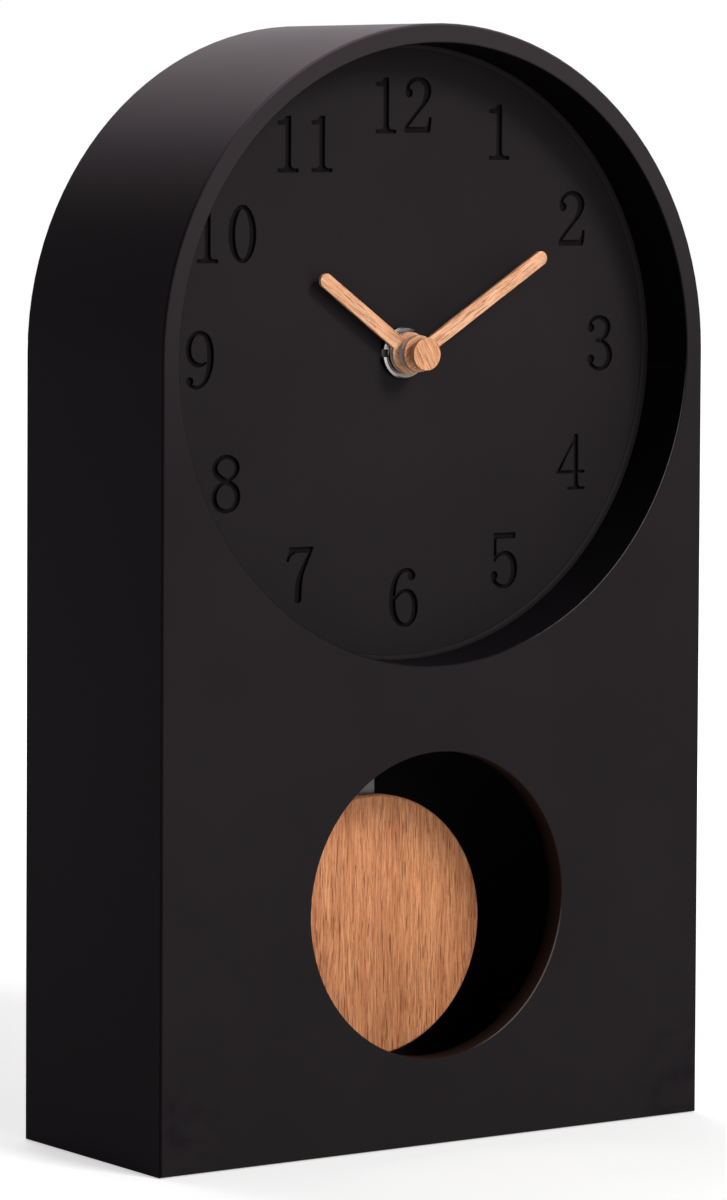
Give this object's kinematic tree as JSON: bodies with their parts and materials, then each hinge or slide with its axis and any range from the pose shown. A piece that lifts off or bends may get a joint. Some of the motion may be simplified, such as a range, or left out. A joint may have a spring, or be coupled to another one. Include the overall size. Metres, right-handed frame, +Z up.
{
  "type": "desk pendulum clock",
  "caption": "Arched black desk clock with a sunk round dial, straight wooden hands and a round wooden pendulum bob swinging behind a round opening; battery movement inside.",
  "frame": {"origin": "centre of the footprint, at the floor that the clock stands on", "axes": "+Z up, +X to the right as seen from the front, the front with the dial faces -Y"},
  "size_m": [0.15, 0.0576, 0.255],
  "materials": {
    "black_lacquer": "fibreboard under satin black lacquer",
    "raw_board": "raw brown fibreboard",
    "walnut": "oiled orange-brown wood, straight grain",
    "pale_wood": "oiled light wood, straight grain",
    "chrome": "polished chrome plate",
    "steel": "bright steel",
    "screw_black": "blackened steel",
    "brass": "plain brass",
    "rubber": "matt black rubber",
    "black_plastic": "moulded, fine matt texture",
    "white_plastic": "moulded, unpigmented",
    "green_board": "laminate with solder mask",
    "copper_coil": "enamelled copper winding",
    "cell_jacket": "plain shrink jacket",
    "magnet": "sintered magnet",
    "motor_iron": "soft iron lamination"
  },
  "bodies": {
    "case": {"front_board": "black_lacquer", "side_band": "black_lacquer", "base_board": "black_lacquer", "recess_collar": "black_lacquer", "dial_board": "black_lacquer", "screw_blocks": "raw_board", "back_board": "black_lacquer", "back_screws": "screw_black", "dial_washer": "steel", "hand_nut": "chrome", "threaded_bush": "brass", "movement_gasket": "rubber", "movement_case": "black_plastic", "train_bridge": "white_plastic", "bridge_screws": "steel", "stator": "motor_iron", "coil_bobbin": "white_plastic", "motor_coil": "copper_coil", "circuit_board": "green_board", "clock_chip": "black_plastic", "quartz_crystal": "steel", "battery_cell": "cell_jacket", "battery_contacts": "steel", "movement_cover": "black_plastic", "cover_screws": "steel", "driver_pin": "steel", "drive_coil": "copper_coil", "coil_holder": "white_plastic"},
    "minute_works": {"minute_arbor": "brass", "minute_hand": "pale_wood", "minute_collet": "steel", "hand_cap": "pale_wood"},
    "hour_works": {"hour_wheel": "white_plastic", "hour_hand": "pale_wood", "hour_collet": "steel"},
    "minute_wheel_works": {"minute_wheel": "white_plastic"},
    "setting_works": {"setting_knob": "white_plastic"},
    "centre_works": {"centre_wheel": "white_plastic"},
    "third_works": {"third_wheel": "white_plastic"},
    "second_works": {"second_wheel": "white_plastic"},
    "fifth_works": {"fifth_wheel": "white_plastic"},
    "rotor_works": {"rotor": "white_plastic", "rotor_magnet": "magnet"},
    "pendulum": {"pendulum_driver": "white_plastic", "driver_magnet": "magnet", "pendulum_rod": "steel", "pendulum_bob": "walnut", "bob_bracket": "black_plastic", "bracket_screws": "steel"}
  },
  "joints": [
    {"name": "minute_turn", "type": "hinge", "parent": "case", "child": "minute_works", "pos_m": [0, 0, 0.18], "axis": [0, 1, 0], "continuous": true},
    {"name": "hour_turn", "type": "hinge", "parent": "case", "child": "hour_works", "pos_m": [0, 0, 0.18], "axis": [0, 1, 0], "continuous": true},
    {"name": "minute_wheel_turn", "type": "hinge", "parent": "case", "child": "minute_wheel_works", "pos_m": [0, 0, 0.19], "axis": [0, 1, 0], "continuous": true},
    {"name": "setting_turn", "type": "hinge", "parent": "case", "child": "setting_works", "pos_m": [0, 0, 0.2], "axis": [0, 1, 0], "continuous": true},
    {"name": "second_turn", "type": "hinge", "parent": "case", "child": "second_works", "pos_m": [0, 0, 0.18], "axis": [0, 1, 0], "continuous": true},
    {"name": "third_turn", "type": "hinge", "parent": "case", "child": "third_works", "pos_m": [0.00941, 0, 0.1879], "axis": [0, 1, 0], "continuous": true},
    {"name": "centre_turn", "type": "hinge", "parent": "case", "child": "centre_works", "pos_m": [0, 0, 0.18], "axis": [0, 1, 0], "continuous": true},
    {"name": "fifth_turn", "type": "hinge", "parent": "case", "child": "fifth_works", "pos_m": [-0.01221, 0, 0.17673], "axis": [0, 1, 0], "continuous": true},
    {"name": "rotor_turn", "type": "hinge", "parent": "case", "child": "rotor_works", "pos_m": [-0.01898, 0, 0.18063], "axis": [0, 1, 0], "continuous": true},
    {"name": "pendulum_swing", "type": "hinge", "parent": "case", "child": "pendulum", "pos_m": [0, 0, 0.14602], "axis": [0, 1, 0], "range_deg": [-10, 10]}
  ],
  "couplings": [
    {"joint": "hour_turn", "follows": "minute_turn", "ratio": 0.083333},
    {"joint": "minute_wheel_turn", "follows": "minute_turn", "ratio": -0.33333},
    {"joint": "setting_turn", "follows": "minute_turn", "ratio": 1},
    {"joint": "third_turn", "follows": "second_turn", "ratio": -0.125},
    {"joint": "centre_turn", "follows": "second_turn", "ratio": 0.016667},
    {"joint": "fifth_turn", "follows": "second_turn", "ratio": -6},
    {"joint": "rotor_turn", "follows": "second_turn", "ratio": 30}
  ]
}
